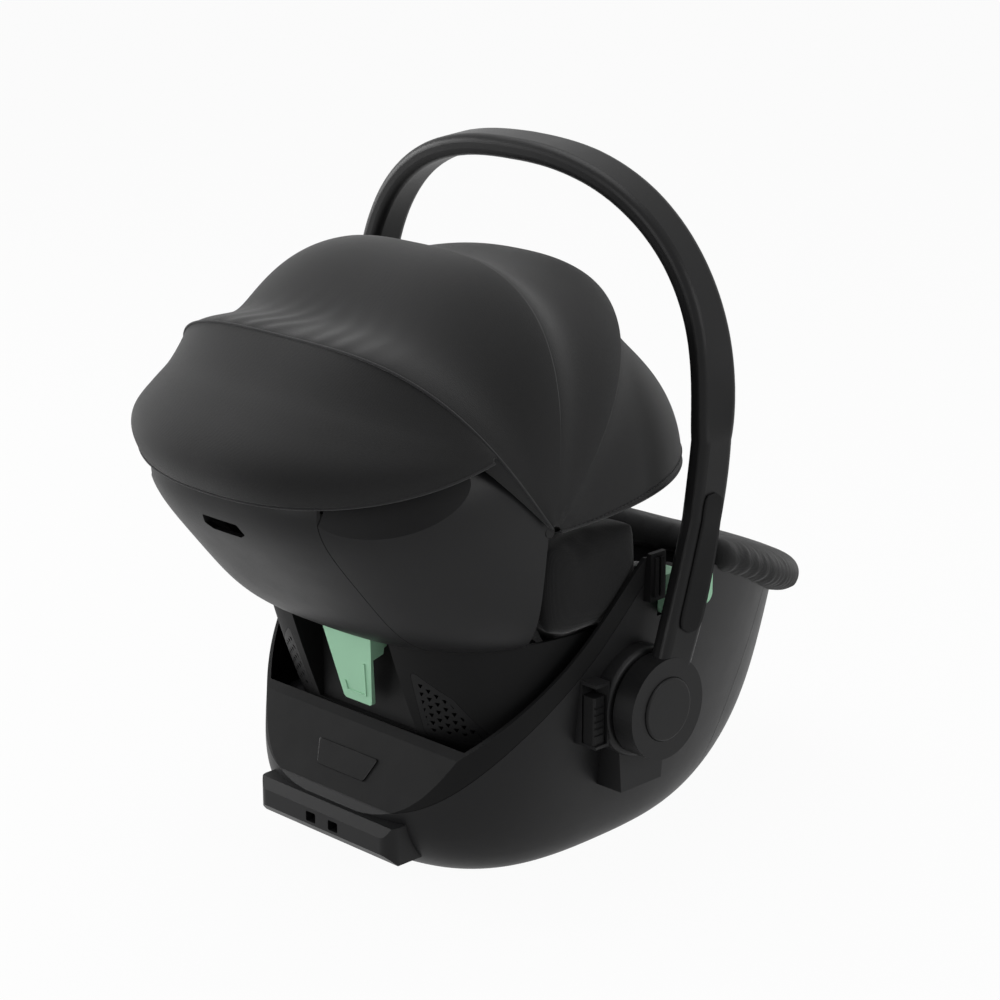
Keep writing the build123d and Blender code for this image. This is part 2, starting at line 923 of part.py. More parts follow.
back_pad_base = plate_front + gap
back_pad_face = back_pad_base + back_pad_thick
with BuildPart() as back_cushion:
    with BuildSketch(back_plane.offset(back_pad_base)):
        with Locations((0, (back_pad_start + back_pad_end) / 2)):
            RectangleRounded(2 * back_pad_half_width, back_pad_end - back_pad_start, 40)
    extrude(amount=back_pad_thick)
    fillet(back_cushion.faces().sort_by(Axis.Z)[-1].edges(), 6)
write("back_cushion", back_cushion.part)

with BuildPart() as seat_cushion:
    add(
        prism(
            seat_line(gap) + list(reversed(seat_line(seat_pad_thick))),
            -seat_pad_half_width,
            seat_pad_half_width,
        )
    )
    add(block(-side, side, seat_pad_front_y, side, 0, high), mode=Mode.INTERSECT)
    add(lining, mode=Mode.INTERSECT)
write("seat_cushion", seat_cushion.part)

with BuildPart() as side_liner:
    add(
        prism(
            seat_line(gap)
            + [
                (liner_rear_y, foam_bite[1] + gap),
                (liner_rear_y, rim_crest_height - 10),
                (armrest_y, armrest_height - 8),
                (-front_reach, lip_height + 6),
            ],
            liner_inner,
            side,
        )
    )
    add(block(0, side, liner_front_y, liner_rear_y, 0, high), mode=Mode.INTERSECT)
    add(guide_notch, mode=Mode.SUBTRACT)
    add(pin_bore, mode=Mode.SUBTRACT)
write_fitted_pair("side_liner", side_liner.part, lining, Mode.INTERSECT)

# Wings beside the shoulders: a thick inner pad and the part that shows outside the rear wall
wing_low = panel_top + wing_edge / 4
with BuildPart() as side_wing:
    add(
        prism(
            [
                (wing_front_y, panel_bottom + 6),
                (wing_front_y, wing_top),
                (head_front_y, wing_top + 4),
                (wing_tip_y, wing_tip_z),
                (wing_tip_y - wing_edge / 2, wing_tip_z - wing_edge),
                (wing_knee_y, wing_knee_z),
                (wing_heel_y, wing_heel_z),
            ],
            liner_inner,
            wing_mid,
        )
    )
    add(block(wing_mid - 1, wing_outer, wing_front_y, head_front_y - 6, wing_low, wing_top))
write_pair("side_wing", side_wing.part)

# Upright column with the plan outline of the cuff
def cuff_column(inset):
    rows = [
        (level, cuff_half_width - inset, side, cuff_reach - inset, 0) for level in (belly_height, head_top)
    ]
    return tub(rows, front_power, front_power)


# Padded cuff over the front lip
with BuildPart() as front_cuff:
    add(cuff_column(0))
    add(cuff_column(cuff_width), mode=Mode.SUBTRACT)
    add(above_rim(gap), mode=Mode.INTERSECT)
    add(above_rim(cuff_thick), mode=Mode.SUBTRACT)
    add(block(-side, side, -high, cuff_rear_y, 0, high), mode=Mode.INTERSECT)
write("front_cuff", front_cuff.part)

# Headrest on the back cushion, with its two side cheeks
headrest_base = back_pad_face + gap
with BuildPart() as headrest_shell:
    with BuildSketch(back_plane.offset(headrest_base)):
        with Locations((0, headrest_start + headrest_height / 2)):
            RectangleRounded(2 * headrest_half_width, headrest_height, 24)
    extrude(amount=headrest_thick)
write("headrest_shell", headrest_shell.part)

headrest_pad_base = headrest_base + headrest_thick + gap
with BuildPart() as headrest_pad:
    with BuildSketch(back_plane.offset(headrest_pad_base)):
        with Locations((0, headrest_start + headrest_height / 2)):
            RectangleRounded(2 * headrest_half_width - 4, headrest_height - 4, 22)
    extrude(amount=headrest_pad_thick)
    cheek_x = headrest_half_width - 2 - headrest_wing_width / 2
    with BuildSketch(back_plane.offset(headrest_pad_base + headrest_pad_thick)):
        with Locations((cheek_x, headrest_start + headrest_height / 2)):
            RectangleRounded(headrest_wing_width, headrest_height - 30, 10)
        with Locations((-cheek_x, headrest_start + headrest_height / 2)):
            RectangleRounded(headrest_wing_width, headrest_height - 30, 10)
    extrude(amount=headrest_wing)
write("headrest_pad", headrest_pad.part)

# Harness: webbing, pads over it, and the tongues in the buckle
strap_base = back_pad_face + gap
with BuildPart() as shoulder_straps:
    with BuildSketch(back_plane.offset(strap_base)):
        with GridLocations(2 * strap_x, 1, 2, 1):
            with Locations((0, (strap_top + strap_bottom) / 2)):
                Rectangle(strap_width, strap_top - strap_bottom)
    extrude(amount=strap_thick)
write("shoulder_straps", shoulder_straps.part)

with BuildPart() as shoulder_pads:
    with BuildSketch(back_plane.offset(strap_base + strap_thick + gap)):
        with GridLocations(2 * strap_x, 1, 2, 1):
            with Locations((0, strap_top - 6 - shoulder_pad_length / 2)):
                RectangleRounded(shoulder_pad_width, shoulder_pad_length, 10)
    extrude(amount=shoulder_pad_thick)
write("shoulder_pads", shoulder_pads.part)

# Buckle standing on the seat cushion between the legs
knee_run = seat_knee_y - (foam_bite[0] - 12)
seat_slope = (seat_knee_z - foam_bite[1]) / knee_run
buckle_seat_z = foam_bite[1] + seat_pad_thick + seat_slope * (buckle_y - (foam_bite[0] - 12))
buckle_plane = Plane(
    origin=(0, buckle_y, buckle_seat_z + gap),
    x_dir=(1, 0, 0),
    z_dir=(0, -sin(radians(buckle_lean)), cos(radians(buckle_lean))),
)
button_base = buckle_thick - buckle_button_travel - 3
with BuildPart() as buckle_body:
    with BuildSketch(buckle_plane):
        with Locations((0, buckle_height / 2)):
            RectangleRounded(buckle_width, buckle_height, 9)
    extrude(amount=buckle_thick)
    with BuildSketch(buckle_plane.offset(button_base - fit)):
        with Locations((0, buckle_height * 0.42)):
            RectangleRounded(buckle_button_size + 2 * fit, buckle_button_size + 2 * fit, 5)
    extrude(amount=buckle_thick, mode=Mode.SUBTRACT)
write("buckle_body", buckle_body.part)

with BuildPart() as buckle_button:
    with BuildSketch(buckle_plane.offset(button_base + buckle_button_travel)):
        with Locations((0, buckle_height * 0.42)):
            RectangleRounded(buckle_button_size, buckle_button_size, 5)
    extrude(amount=buckle_thick - button_base - buckle_button_travel)
write("buckle_button", buckle_button.part)

with BuildPart() as crotch_pad:
    with BuildSketch(buckle_plane.offset(-gap - crotch_thick)):
        with Locations((0, crotch_length / 2 + 6)):
            RectangleRounded(crotch_width, crotch_length, 9)
    extrude(amount=crotch_thick)
write("crotch_pad", crotch_pad.part)

# Harness adjuster at the front of the seat cushion
knee_slope = (seat_front_z - seat_knee_z) / (-front_reach - 20 - seat_knee_y)
adjuster_plane = Plane(
    origin=(0, adjuster_y, seat_knee_z + seat_pad_thick + gap + knee_slope * (adjuster_y - seat_knee_y)),
    x_dir=(1, 0, 0),
    z_dir=(0, -knee_slope, 1),
)
with BuildPart() as adjuster_housing:
    with BuildSketch(adjuster_plane):
        RectangleRounded(adjuster_width, adjuster_length, 6)
    extrude(amount=adjuster_thick)
    with BuildSketch(adjuster_plane.offset(adjuster_thick - adjuster_travel - 4)):
        RectangleRounded(adjuster_button_size + 2 * fit, adjuster_button_size + 2 * fit, 4)
    extrude(amount=adjuster_thick, mode=Mode.SUBTRACT)
write("adjuster_housing", adjuster_housing.part)

with BuildPart() as adjuster_button:
    with BuildSketch(adjuster_plane.offset(adjuster_thick - 3.5)):
        RectangleRounded(adjuster_button_size, adjuster_button_size, 4)
    extrude(amount=4.5)
write("adjuster_button", adjuster_button.part)


# Plane of an arch through a line across the seat, at an angle from the rear
def bow_plane(angle, y, z):
    return Plane(
        origin=(0, y, z),
        x_dir=(1, 0, 0),
        z_dir=(0, -sin(radians(angle)), cos(radians(angle))),
    )


# Points of an arch from foot to foot
def arch(half_width, radius, power, foot):
    start = 0.5 * pi * (foot / radius) ** (power / 2)
    points = []
    for k in range(13):
        turn = start + (pi - 2 * start) * k / 12
        x = half_width * abs(cos(turn)) ** (2 / power) * (1 if cos(turn) >= 0 else -1)
        points.append((x, radius * sin(turn) ** (2 / power)))
    return points


# Cloth between arches given as angle, radius and power
def canopy_cloth(rows, y, z, half_width, foot):
    with BuildPart() as cloth:
        for angle, radius, power in rows:
            with BuildSketch(bow_plane(angle, y, z)):
                with BuildLine():
                    over = Spline(*arch(half_width, radius, power, foot))
                    inside = half_width - canopy_thick
                    under = Spline(*arch(inside, radius - canopy_thick, power, foot))
                    Line(over @ 0, under @ 0)
                    Line(over @ 1, under @ 1)
                make_face()
        loft()
    return cloth.part


half_gap = 0.15
skirt_y = canopy_y + skirt_seat * cos(radians(ridge_angle))
skirt_z = canopy_z + skirt_seat * sin(radians(ridge_angle))
skirt_share = (1 - (skirt_seat / ridge_radius) ** ridge_power) ** (1 / ridge_power)
skirt_ridge = ridge_radius - skirt_seat
skirt_rows = (
    (hem_angle, hem_radius, skirt_power),
    (brim_angle, brim_radius, skirt_power),
    ((brim_angle + ridge_angle) / 2, (brim_radius + skirt_ridge) / 2 - panel_dip, skirt_power),
    (ridge_angle - half_gap, skirt_ridge, skirt_power),
)
write(
    "canopy_rear_panel",
    canopy_cloth(skirt_rows, skirt_y, skirt_z, canopy_half_width * skirt_share, skirt_foot),
)
mid_rows = (
    (ridge_angle + half_gap, ridge_radius, ridge_power),
    (
        (ridge_angle + mid_angle) / 2,
        (ridge_radius + mid_radius) / 2 - panel_dip,
        (ridge_power + mid_power) / 2,
    ),
    (mid_angle - half_gap, mid_radius, mid_power),
)
write("canopy_mid_panel", canopy_cloth(mid_rows, canopy_y, canopy_z, canopy_half_width, canopy_foot))
top_rows = (
    (mid_angle + half_gap, mid_radius, mid_power),
    (
        (mid_angle + front_angle) / 2,
        (mid_radius + front_radius) / 2 - panel_dip / 2,
        (mid_power + front_power) / 2,
    ),
    (front_angle - half_gap, front_radius, front_power),
)
write("canopy_top_panel", canopy_cloth(top_rows, canopy_y, canopy_z, canopy_half_width, canopy_foot))
visor_rows = (
    (front_angle + half_gap, front_radius, front_power),
    (
        (front_angle + visor_angle) / 2,
        (front_radius + visor_radius) / 2 + panel_dip / 2,
        (front_power + visor_power) / 2,
    ),
    (visor_angle, visor_radius, visor_power),
)
write("canopy_visor", canopy_cloth(visor_rows, canopy_y, canopy_z, canopy_half_width, canopy_foot))


# Flat bow inside the cloth, ahead of its seam, with an eye on the pivot pin at each end unless it is fixed
def canopy_bow(angle, radius, power, place, width, drop, turning):
    half_width = bow_first_half_width + place * (bow_thick + bow_gap)
    reach = radius - canopy_thick - drop
    foot = eye_radius / 2 if turning else 2 * eye_radius
    with BuildPart() as bow:
        with BuildSketch(bow_plane(angle, canopy_y, canopy_z)):
            with BuildLine():
                over = Spline(*arch(half_width, reach, power, foot))
                under = Spline(*arch(half_width - bow_thick, reach - bow_thick, power, foot))
                Line(over @ 0, under @ 0)
                Line(over @ 1, under @ 1)
            make_face()
        extrude(amount=width)
        if turning:
            for x in (half_width - bow_thick, -half_width):
                add(rod(canopy_y, canopy_z, eye_radius, x, x + bow_thick))
            add(
                rod(canopy_y, canopy_z, canopy_pin_radius + run_clearance, -side, side),
                mode=Mode.SUBTRACT,
            )
    return bow.part


rear_bow = canopy_bow(ridge_angle, ridge_radius, ridge_power, -1, -bow_width / 2, rear_slack, False)
write("canopy_rear_bow", rear_bow)
mid_bow = canopy_bow(mid_angle, mid_radius, mid_power, 0, bow_width, ridge_slack, True)
write("canopy_mid_bow", mid_bow)
front_bow = canopy_bow(front_angle, front_radius, front_power, 1, bow_width, gap, True)
write("canopy_front_bow", front_bow)
visor_bow = canopy_bow(visor_angle, visor_radius, visor_power, 2, -bow_width, visor_slack, True)
write("canopy_visor_bow", visor_bow)

with BuildPart() as canopy_pins:
    add(rod(canopy_y, canopy_z, canopy_pin_radius, canopy_pin_inner, head_half_width - 1))
    add(rod(canopy_y, canopy_z, canopy_pin_radius, 1 - head_half_width, -canopy_pin_inner))
write("canopy_pins", canopy_pins.part)
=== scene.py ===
import json
import math
import bmesh
import bpy
import numpy as np
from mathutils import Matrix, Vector
from mathutils.bvhtree import BVHTree

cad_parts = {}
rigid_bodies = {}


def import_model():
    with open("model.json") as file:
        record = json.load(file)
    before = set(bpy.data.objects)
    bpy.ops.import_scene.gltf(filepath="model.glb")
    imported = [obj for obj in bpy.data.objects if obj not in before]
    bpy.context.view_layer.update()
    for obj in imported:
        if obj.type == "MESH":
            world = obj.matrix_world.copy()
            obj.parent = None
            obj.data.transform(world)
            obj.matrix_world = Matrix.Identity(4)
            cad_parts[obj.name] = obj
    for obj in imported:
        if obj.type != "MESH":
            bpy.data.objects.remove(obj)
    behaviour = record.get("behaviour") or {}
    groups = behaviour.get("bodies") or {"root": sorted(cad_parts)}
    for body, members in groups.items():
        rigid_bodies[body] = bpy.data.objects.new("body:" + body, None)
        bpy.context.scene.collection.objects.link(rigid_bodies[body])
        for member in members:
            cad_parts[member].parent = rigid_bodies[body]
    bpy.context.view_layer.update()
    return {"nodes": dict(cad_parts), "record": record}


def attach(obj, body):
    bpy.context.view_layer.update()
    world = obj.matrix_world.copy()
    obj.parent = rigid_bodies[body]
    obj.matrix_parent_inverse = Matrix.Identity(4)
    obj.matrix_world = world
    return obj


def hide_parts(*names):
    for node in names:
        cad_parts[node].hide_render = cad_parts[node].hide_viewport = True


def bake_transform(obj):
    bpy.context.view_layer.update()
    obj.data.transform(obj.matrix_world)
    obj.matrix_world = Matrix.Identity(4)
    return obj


for spare in list(bpy.data.objects):
    bpy.data.objects.remove(spare)
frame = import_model()
cadNodes = frame["nodes"]
scene = bpy.context.scene
print("frame loaded,", len(cadNodes), "nodes")


# Scale of a Wave texture whose bands are one metre apart
waveScale = 0.31416


# A shader value: arithmetic on it adds Math nodes
class Wire:
    def __init__(self, tree, socket):
        self.tree = tree
        self.socket = socket

    def calc(self, operation, a, b):
        made = self.tree.nodes.new("ShaderNodeMath")
        made.operation = operation
        for slot, value in zip(made.inputs, (a, b)):
            if isinstance(value, Wire):
                self.tree.links.new(value.socket, slot)
            else:
                slot.default_value = value
        return Wire(self.tree, made.outputs[0])

    def __add__(self, other):
        return self.calc("ADD", self, other)

    def __radd__(self, other):
        return self.calc("ADD", other, self)

    def __sub__(self, other):
        return self.calc("SUBTRACT", self, other)

    def __rsub__(self, other):
        return self.calc("SUBTRACT", other, self)

    def __mul__(self, other):
        return self.calc("MULTIPLY", self, other)


class Finish:
    def __init__(self, name, roughness, settings=None):
        self.material = bpy.data.materials.new(name)
        self.material.use_nodes = True
        self.tree = self.material.node_tree
        self.shader = self.tree.nodes["Principled BSDF"]
        self.shader.inputs["Roughness"].default_value = roughness
        for key, value in (settings or {}).items():
            self.shader.inputs[key].default_value = value

    def node(self, kind, settings=None, inputs=None, output=0):
        made = self.tree.nodes.new(kind)
        for key, value in (settings or {}).items():
            setattr(made, key, value)
        for key, value in (inputs or {}).items():
            self.plug(made.inputs[key], value)
        return Wire(self.tree, made.outputs[output])

    def plug(self, socket, value):
        if isinstance(value, Wire):
            self.tree.links.new(value.socket, socket)
        else:
            socket.default_value = value

    def place(self, fromUv):
        return self.node("ShaderNodeTexCoord", output="UV" if fromUv else "Object")

    def noise(self, where, scale, detail):
        return self.node("ShaderNodeTexNoise", None, {"Vector": where, "Scale": scale, "Detail": detail})

    def bands(self, where, direction, pitch):
        settings = {"wave_type": "BANDS", "bands_direction": direction}
        inputs = {"Vector": where, "Scale": waveScale / pitch}
        return self.node("ShaderNodeTexWave", settings, inputs, 1)

    def tint(self, amount, dark, light):
        inputs = {0: amount, 6: (*dark, 1), 7: (*light, 1)}
        return self.node("ShaderNodeMix", {"data_type": "RGBA"}, inputs, 2)

    def colour(self, value):
        self.plug(self.shader.inputs["Base Color"], value)

    def roughness(self, value):
        self.plug(self.shader.inputs["Roughness"], value)

    def relief(self, height, distance, strength):
        inputs = {"Height": height, "Distance": distance, "Strength": strength}
        self.plug(self.shader.inputs["Normal"], self.node("ShaderNodeBump", None, inputs))


def shade(rgb, factor):
    return tuple(min(1.0, c * factor) for c in rgb)


# Moulded plastic: spark-eroded grain, slow change of gloss, rubbed patches
def mouldedPlastic(name, rgb, rough, grain=1.0, shine=0.16):
    look = Finish(name, rough, {"Specular IOR Level": shine})
    where = look.place(False)
    fine = look.noise(where, 1500.0, 3.0)
    slow = look.noise(where, 9.0, 3.0)
    rubbed = look.noise(where, 46.0, 6.0)
    look.colour(look.tint(slow * 0.7 + fine * 0.3, shade(rgb, 0.86), shade(rgb, 1.16)))
    look.roughness(rough + (slow - 0.5) * 0.1 + (rubbed - 0.5) * 0.08 + (fine - 0.5) * 0.1)
    look.relief(fine, 0.00012 * grain, 0.5)
    return look.material


# Woven cover: crossing yarns on the sheet's own UV map, with flecked yarn colour
def wovenCloth(name, rgb, pitch, fromUv):
    look = Finish(name, 0.82, {"Sheen Weight": 0.22, "Sheen Roughness": 0.45, "Specular IOR Level": 0.12})
    where = look.place(fromUv)
    warp = look.bands(where, "X", pitch)
    weft = look.bands(where, "Y", pitch)
    fleck = look.noise(where, 420.0, 4.0)
    slow = look.noise(where, 7.0, 3.0)
    yarn = warp * weft
    look.colour(look.tint(yarn * 0.3 + fleck * 0.45 + slow * 0.25, shade(rgb, 0.72), shade(rgb, 1.3)))
    look.roughness(0.74 + fleck * 0.14 + slow * 0.06)
    look.relief(warp * 0.35 + weft * 0.35 + fleck * 0.6, 0.0004, 0.45)
    return look.material


# Soft knit of the liner: small loops and a little pile
def softKnit(name, rgb):
    look = Finish(name, 0.9, {"Sheen Weight": 0.35, "Sheen Roughness": 0.5, "Specular IOR Level": 0.12})
    where = look.place(False)
    loops = look.node("ShaderNodeTexVoronoi", None, {"Vector": where, "Scale": 620.0})
    pile = look.noise(where, 260.0, 5.0)
    slow = look.noise(where, 11.0, 3.0)
    look.colour(look.tint(pile * 0.6 + slow * 0.4, shade(rgb, 0.7), shade(rgb, 1.32)))
    look.roughness(0.82 + pile * 0.12)
    look.relief(loops * 0.7 + pile * 0.5, 0.0006, 0.5)
    return look.material


# Belt webbing: ribs along the strap and fine picks across it
def beltWebbing(name, rgb):
    look = Finish(name, 0.6, {"Specular IOR Level": 0.16})
    where = look.place(True)
    ribs = look.bands(where, "X", 0.0024)
    picks = look.bands(where, "Y", 0.0011)
    slow = look.noise(where, 40.0, 3.0)
    look.colour(look.tint(ribs * 0.5 + slow * 0.5, shade(rgb, 0.7), shade(rgb, 1.4)))
    look.roughness(0.52 + picks * 0.14)
    look.relief(ribs * 0.8 + picks * 0.3, 0.0005, 0.6)
    return look.material


def turnedSteel(name):
    look = Finish(name, 0.3, {"Metallic": 1.0})
    where = look.place(False)
    scratch = look.noise(where, 700.0, 4.0)
    look.colour(look.tint(scratch, (0.42, 0.42, 0.43), (0.62, 0.62, 0.63)))
    look.roughness(0.24 + scratch * 0.16)
    return look.material


# Beaded foam of the inner tub
def beadFoam(name, rgb):
    look = Finish(name, 0.9, {"Specular IOR Level": 0.2})
    where = look.place(False)
    beads = look.node("ShaderNodeTexVoronoi", None, {"Vector": where, "Scale": 280.0})
    slow = look.noise(where, 14.0, 2.0)
    look.colour(look.tint(beads * 0.8 + slow * 0.2, shade(rgb, 1.3), shade(rgb, 0.7)))
    look.roughness(0.8 + beads * 0.15)
    look.relief(1 - beads, 0.0008, 0.5)
    return look.material


charcoal = (0.0125, 0.0125, 0.013)
finishes = {
    "shell": mouldedPlastic("shellPlastic", charcoal, 0.44),
    # Near-black plastic of the covers and buckle: partly its own tone, partly painted shade, set darker so
    # the stern stays dim under the rear lamp
    "cover": mouldedPlastic("coverPlasticWithPaintedShade", (0.0055, 0.0055, 0.0057), 0.64, 1.0, 0.12),
    "bar": mouldedPlastic("barPlastic", (0.0075, 0.0075, 0.0078), 0.4),
    "dark": mouldedPlastic("recessPlastic", (0.005, 0.005, 0.0052), 0.52),
    # Mint plastic of the belt hook and lap guides: partly its own colour, partly painted light, set lighter
    # than the real mint to make up for the shade under the head shell
    "accent": mouldedPlastic("mintPlasticWithPaintedLight", (0.37, 0.66, 0.45), 0.46, 0.6),
    "plate": mouldedPlastic("plainPlate", (0.003, 0.003, 0.0032), 0.22, 0.4),
    "release": mouldedPlastic("redButton", (0.45, 0.02, 0.02), 0.38, 0.5),
    "pin": turnedSteel("pinSteel"),
    "foam": beadFoam("tubFoam", (0.05, 0.05, 0.053)),
    "canopy": wovenCloth("canopyCloth", (0.017, 0.017, 0.0173), 0.0011, True),
    "cover cloth": wovenCloth("coverCloth", (0.01, 0.01, 0.0103), 0.0012, False),
    "knit": softKnit("linerKnit", (0.03, 0.03, 0.031)),
    "webbing": beltWebbing("strapWebbing", (0.016, 0.016, 0.0165)),
    "piping": wovenCloth("pipingCloth", (0.03, 0.03, 0.031), 0.0009, False),
    "thread": mouldedPlastic("seamThread", (0.02, 0.02, 0.021), 0.6, 0.5),
}
dressing = {
    "shell": "lower_shell front_shell head_shell_center head_shell_left head_shell_right dock_block "
    "hub_housing_left hub_housing_right headrest_shell seat_back",
    "cover": "rim_cover back_panel buckle_body adjuster_housing adjuster_button",
    "bar": "handle_bar handle_button_left handle_button_right wing_clip_left wing_clip_right "
    "canopy_rear_bow canopy_mid_bow canopy_front_bow canopy_visor_bow canopy_pins",
    "dark": "belt_tray vent_grille_left vent_grille_right adapter_slide_left adapter_slide_right",
    "accent": "shoulder_belt_hook lap_guide_left lap_guide_right",
    "release": "buckle_button",
    "pin": "handle_pins",
    "foam": "foam_tub",
}
for look, names in dressing.items():
    for name in names.split():
        owner = cadNodes[name]
        if not owner.material_slots:
            owner.data.materials.append(None)
        for slot in owner.material_slots:
            slot.material = finishes[look]
print("plastics and metals on")


def addMesh(name, points, faces, look, uv=None):
    mesh = bpy.data.meshes.new(name)
    mesh.from_pydata([tuple(p) for p in points], [], faces)
    if uv is not None:
        layer = mesh.uv_layers.new(name="UVMap")
        for loop in mesh.loops:
            layer.data[loop.index].uv = uv[loop.vertex_index]
    mesh.polygons.foreach_set("use_smooth", [True] * len(mesh.polygons))
    piece = bpy.data.objects.new(name, mesh)
    scene.collection.objects.link(piece)
    mesh.materials.append(finishes[look])
    return piece


# Turns an object with live modifiers into a plain mesh
def settle(piece):
    view = bpy.context.evaluated_depsgraph_get()
    view.update()
    shaped = piece.evaluated_get(view)
    mesh = bpy.data.meshes.new_from_object(shaped, preserve_all_data_layers=True, depsgraph=view)
    piece.modifiers.clear()
    old = piece.data
    piece.data = mesh
    bpy.data.meshes.remove(old)
    return piece


# Rows of points as one sheet, with a UV map in metres
def addSheet(name, rows, look, thick, smooth=1):
    count, across = rows.shape[:2]
    downSteps = np.linalg.norm(np.diff(rows, axis=0), axis=2)
    sideSteps = np.linalg.norm(np.diff(rows, axis=1), axis=2)
    along = np.concatenate([np.zeros((1, across)), np.cumsum(downSteps, axis=0)])
    sideways = np.concatenate([np.zeros((count, 1)), np.cumsum(sideSteps, axis=1)], 1)
    sideways = sideways - sideways[:, -1:] / 2
    middle = along[:, across // 2]
    uv = [(sideways[i, j], middle[i]) for i in range(count) for j in range(across)]
    faces = []
    for i in range(count - 1):
        for j in range(across - 1):
            a = i * across + j
            faces.append((a, a + 1, a + across + 1, a + across))
    piece = addMesh(name, rows.reshape(-1, 3), faces, look, uv)
    wall = piece.modifiers.new("wall", "SOLIDIFY")
    wall.thickness = thick
    wall.offset = -1
    if smooth:
        soft = piece.modifiers.new("soft", "SUBSURF")
        soft.levels = soft.render_levels = smooth
    return settle(piece)


# Node trees for what follows a seam: a round piping, and a row of stitches
def seamTree(name, stitched):
    tree = bpy.data.node_groups.new(name, "GeometryNodeTree")
    tree.interface.new_socket("Line", in_out="INPUT", socket_type="NodeSocketGeometry")
    ids = {}
    for key, value in (("Radius", 0.002), ("Pitch", 0.006), ("Length", 0.004)):
        socket = tree.interface.new_socket(key, in_out="INPUT", socket_type="NodeSocketFloat")
        socket.default_value = value
        ids[key] = socket.identifier
    socket = tree.interface.new_socket("Finish", in_out="INPUT", socket_type="NodeSocketMaterial")
    ids["Finish"] = socket.identifier
    tree.interface.new_socket("Seam", in_out="OUTPUT", socket_type="NodeSocketGeometry")
    make = tree.nodes.new
    join = tree.links.new
    start = make("NodeGroupInput")
    line = make("GeometryNodeMeshToCurve")
    join(start.outputs["Line"], line.inputs[0])
    if stitched:
        spaced = make("GeometryNodeResampleCurve")
        spaced.mode = "LENGTH"
        join(line.outputs[0], spaced.inputs["Curve"])
        join(start.outputs["Pitch"], spaced.inputs["Length"])
        bar = make("GeometryNodeMeshCylinder")
        bar.inputs["Vertices"].default_value = 6
        join(start.outputs["Radius"], bar.inputs["Radius"])
        join(start.outputs["Length"], bar.inputs["Depth"])
        tangent = make("GeometryNodeInputTangent")
        turn = make("FunctionNodeAlignRotationToVector")
        turn.axis = "Z"
        join(tangent.outputs[0], turn.inputs["Vector"])
        rows = make("GeometryNodeInstanceOnPoints")
        join(spaced.outputs[0], rows.inputs["Points"])
        join(bar.outputs[0], rows.inputs["Instance"])
        join(turn.outputs[0], rows.inputs["Rotation"])
        last = rows.outputs[0]
    else:
        ring = make("GeometryNodeCurvePrimitiveCircle")
        ring.inputs["Resolution"].default_value = 10
        join(start.outputs["Radius"], ring.inputs["Radius"])
        tube = make("GeometryNodeCurveToMesh")
        tube.inputs["Fill Caps"].default_value = True
        join(line.outputs[0], tube.inputs["Curve"])
        join(ring.outputs[0], tube.inputs["Profile Curve"])
        last = tube.outputs[0]
    solid = make("GeometryNodeRealizeInstances")
    join(last, solid.inputs[0])
    paint = make("GeometryNodeSetMaterial")
    join(solid.outputs[0], paint.inputs["Geometry"])
    join(start.outputs["Finish"], paint.inputs["Material"])
    end = make("NodeGroupOutput")
    join(paint.outputs[0], end.inputs[0])
    return tree, ids


pipingTree = seamTree("seamPiping", False)
stitchTree = seamTree("seamStitch", True)
stitchLength = 0.0038


# One seam along a row of points: stitches where a pitch is given, or else piping
def addSeam(name, line, look, radius, pitch=None):
    mesh = bpy.data.meshes.new(name)
    mesh.from_pydata([tuple(p) for p in line], [(k, k + 1) for k in range(len(line) - 1)], [])
    piece = bpy.data.objects.new(name, mesh)
    scene.collection.objects.link(piece)
    tree, ids = stitchTree if pitch else pipingTree
    build = piece.modifiers.new("seam", "NODES")
    build.node_group = tree
    build[ids["Radius"]] = radius
    if pitch:
        build[ids["Pitch"]] = pitch
        build[ids["Length"]] = stitchLength
    build[ids["Finish"]] = finishes[look]
    settle(piece)
    piece.data.polygons.foreach_set("use_smooth", [True] * len(piece.data.polygons))
    return piece


# Canopy. Its arches stand in planes through a line across the seat, at y and z, and each has an angle
# from the rear, a radius and a squareness. Between two arches the cloth hangs by a depth, deepest at a
# share of the way. The skirt has angles and radii about a line further up the ridge.
canopy = {
    "y": 0.105, "z": 0.318, "half": 0.185, "foot": 0.004, "thick": 0.0014, "columns": 121,
    "ridge": (51.0, 0.193, 3.5), "mid": (97.0, 0.206, 3.0),
    "front": (134.0, 0.240, 2.4), "visor": (180.5, 0.287, 2.1),
    "midHang": (0.027, 0.38), "topHang": (0.019, 0.42), "visorHang": (0.024, 0.32), "visorSwell": 0.002,
    "lap": (1.2, 0.0013), "piping": 0.0011, "hemSink": 0.0008, "fineSteps": 900,
    "skirtRows": 34, "midRows": 44, "topRows": 34, "visorRows": 44,
    "skirtSeat": 0.092, "skirtPower": 2.3, "skirtFoot": 0.004, "skirtBlend": 0.55, "skirtSmooth": 10,
    "skirt": (
        (-13.0, 0.149), (-5.0, 0.157), (2.0, 0.156), (10.0, 0.131),
        (26.0, 0.1055), (40.0, 0.1015), (51.0, 0.101),
    ),
}
# Gathers below the ridge: place from the middle, size and width of each, on both sides
gathers = {
    "waves": (
        (0.02, 1.0, 0.008), (0.043, 1.3, 0.007), (0.066, 1.15, 0.008), (0.09, 0.8, 0.009), (0.113, 0.5, 0.01),
    ),
    "height": 0.0016, "sink": 0.0007, "slant": 0.05, "start": 0.05, "reach": 0.3, "sideways": 0.4,
}


